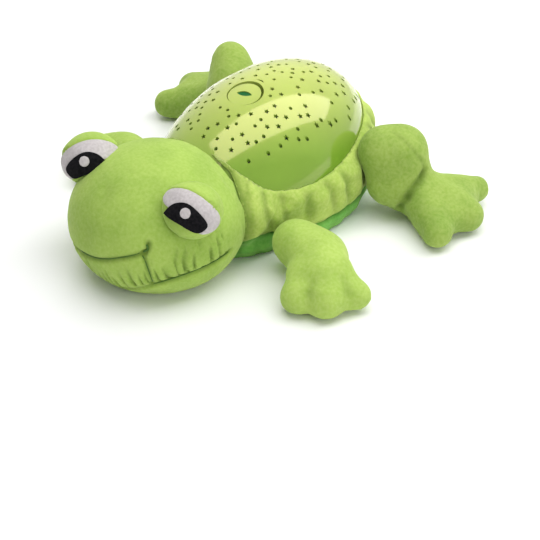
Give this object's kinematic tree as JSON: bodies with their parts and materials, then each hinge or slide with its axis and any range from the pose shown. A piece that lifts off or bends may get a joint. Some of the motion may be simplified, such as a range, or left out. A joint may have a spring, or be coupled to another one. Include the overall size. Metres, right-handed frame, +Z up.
{
  "type": "star night light projector",
  "caption": "Plush frog lying on its belly with a lime star-projector dome in its back, a push button on the crown and batteries under the belly.",
  "frame": {"origin": "on the floor under the middle of the toy's bounding box", "axes": "+Z up, the nose towards -Y, the toy's left side towards +X"},
  "size_m": [0.321, 0.3, 0.107],
  "materials": {
    "dome_plastic": "translucent lime, glossy",
    "tub_plastic": "moulded, fine texture",
    "button_plastic": "glossy lime",
    "window_plastic": "smoked",
    "deck_plastic": "white, reflective",
    "circuit_board": "solder mask",
    "switch_plastic": "black",
    "lamp_red": "clear tinted resin",
    "lamp_green": "clear tinted resin",
    "lamp_blue": "clear tinted resin",
    "wire_sleeve": "wire insulation",
    "spring_steel": "bright wire",
    "screw_steel": "zinc plated",
    "cell_jacket": "plain jacket",
    "foot_rubber": "matte",
    "plush_green": "short-pile plush over stuffing",
    "belly_fabric": "short-pile plush, in shade",
    "felt_white": "felt",
    "felt_black": "felt"
  },
  "bodies": {
    "projector_in_plush": {"base_tub": "tub_plastic", "star_dome": "dome_plastic", "light_deck": "deck_plastic", "main_board": "circuit_board", "lamp_red": "lamp_red", "lamp_green": "lamp_green", "lamp_blue": "lamp_blue", "battery_leads": "wire_sleeve", "button_post": "deck_plastic", "switch_board": "circuit_board", "push_switch": "switch_plastic", "button_spring": "spring_steel", "housing_screws": "screw_steel", "rubber_feet": "foot_rubber", "battery_cells": "cell_jacket", "battery_contacts": "spring_steel", "plush_body": "plush_green", "belly_panel": "belly_fabric", "plush_head": "plush_green", "eye_mound_left": "plush_green", "eye_mound_right": "plush_green", "eye_white_left": "felt_white", "eye_white_right": "felt_white", "eye_pupil_left": "felt_black", "eye_pupil_right": "felt_black", "eye_glint_left": "felt_white", "eye_glint_right": "felt_white"},
    "crown_button": {"crown_button": "button_plastic", "button_window": "window_plastic"},
    "battery_cover": {"battery_door": "tub_plastic", "door_screw": "screw_steel"},
    "front_leg_left": {"front_leg_left": "plush_green"},
    "rear_thigh_left": {"rear_thigh_left": "plush_green"},
    "rear_foot_left": {"rear_foot_left": "plush_green"},
    "front_leg_right": {"front_leg_right": "plush_green"},
    "rear_thigh_right": {"rear_thigh_right": "plush_green"},
    "rear_foot_right": {"rear_foot_right": "plush_green"}
  },
  "joints": [
    {"name": "button_press", "type": "slide", "parent": "projector_in_plush", "child": "crown_button", "axis": [0, 0.2079, -0.9781], "range_m": [0, 0.0015], "stiffness_N_per_m": 800, "springref_m": -0.001, "deforming": ["button_spring"]},
    {"name": "battery_door_release", "type": "slide", "parent": "projector_in_plush", "child": "battery_cover", "axis": [0, 0, -1], "range_m": [0, 0.012]},
    {"name": "front_leg_left_lift", "type": "hinge", "parent": "projector_in_plush", "child": "front_leg_left", "pos_m": [0.08, -0.032, 0.023], "axis": [-0.3162, -0.9487, 0], "range_deg": [0, 20], "stiffness_Nm_per_rad": 0.12},
    {"name": "hip_left_swivel", "type": "hinge", "parent": "projector_in_plush", "child": "rear_thigh_left", "pos_m": [0.079, 0.08, 0.05], "axis": [0, 0, 1], "range_deg": [-10, 12], "stiffness_Nm_per_rad": 0.15},
    {"name": "ankle_left_lift", "type": "hinge", "parent": "rear_thigh_left", "child": "rear_foot_left", "pos_m": [0.104, 0.091, 0.019], "axis": [0.1843, -0.9829, 0], "range_deg": [0, 20], "stiffness_Nm_per_rad": 0.1},
    {"name": "front_leg_right_lift", "type": "hinge", "parent": "projector_in_plush", "child": "front_leg_right", "pos_m": [-0.08, -0.032, 0.023], "axis": [0.0273, 0.9996, 0], "range_deg": [0, 20], "stiffness_Nm_per_rad": 0.12},
    {"name": "hip_right_swivel", "type": "hinge", "parent": "projector_in_plush", "child": "rear_thigh_right", "pos_m": [-0.079, 0.08, 0.05], "axis": [0, 0, -1], "range_deg": [-10, 12], "stiffness_Nm_per_rad": 0.15},
    {"name": "ankle_right_lift", "type": "hinge", "parent": "rear_thigh_right", "child": "rear_foot_right", "pos_m": [-0.109, 0.095, 0.019], "axis": [0.1843, 0.9829, 0], "range_deg": [0, 20], "stiffness_Nm_per_rad": 0.1}
  ]
}
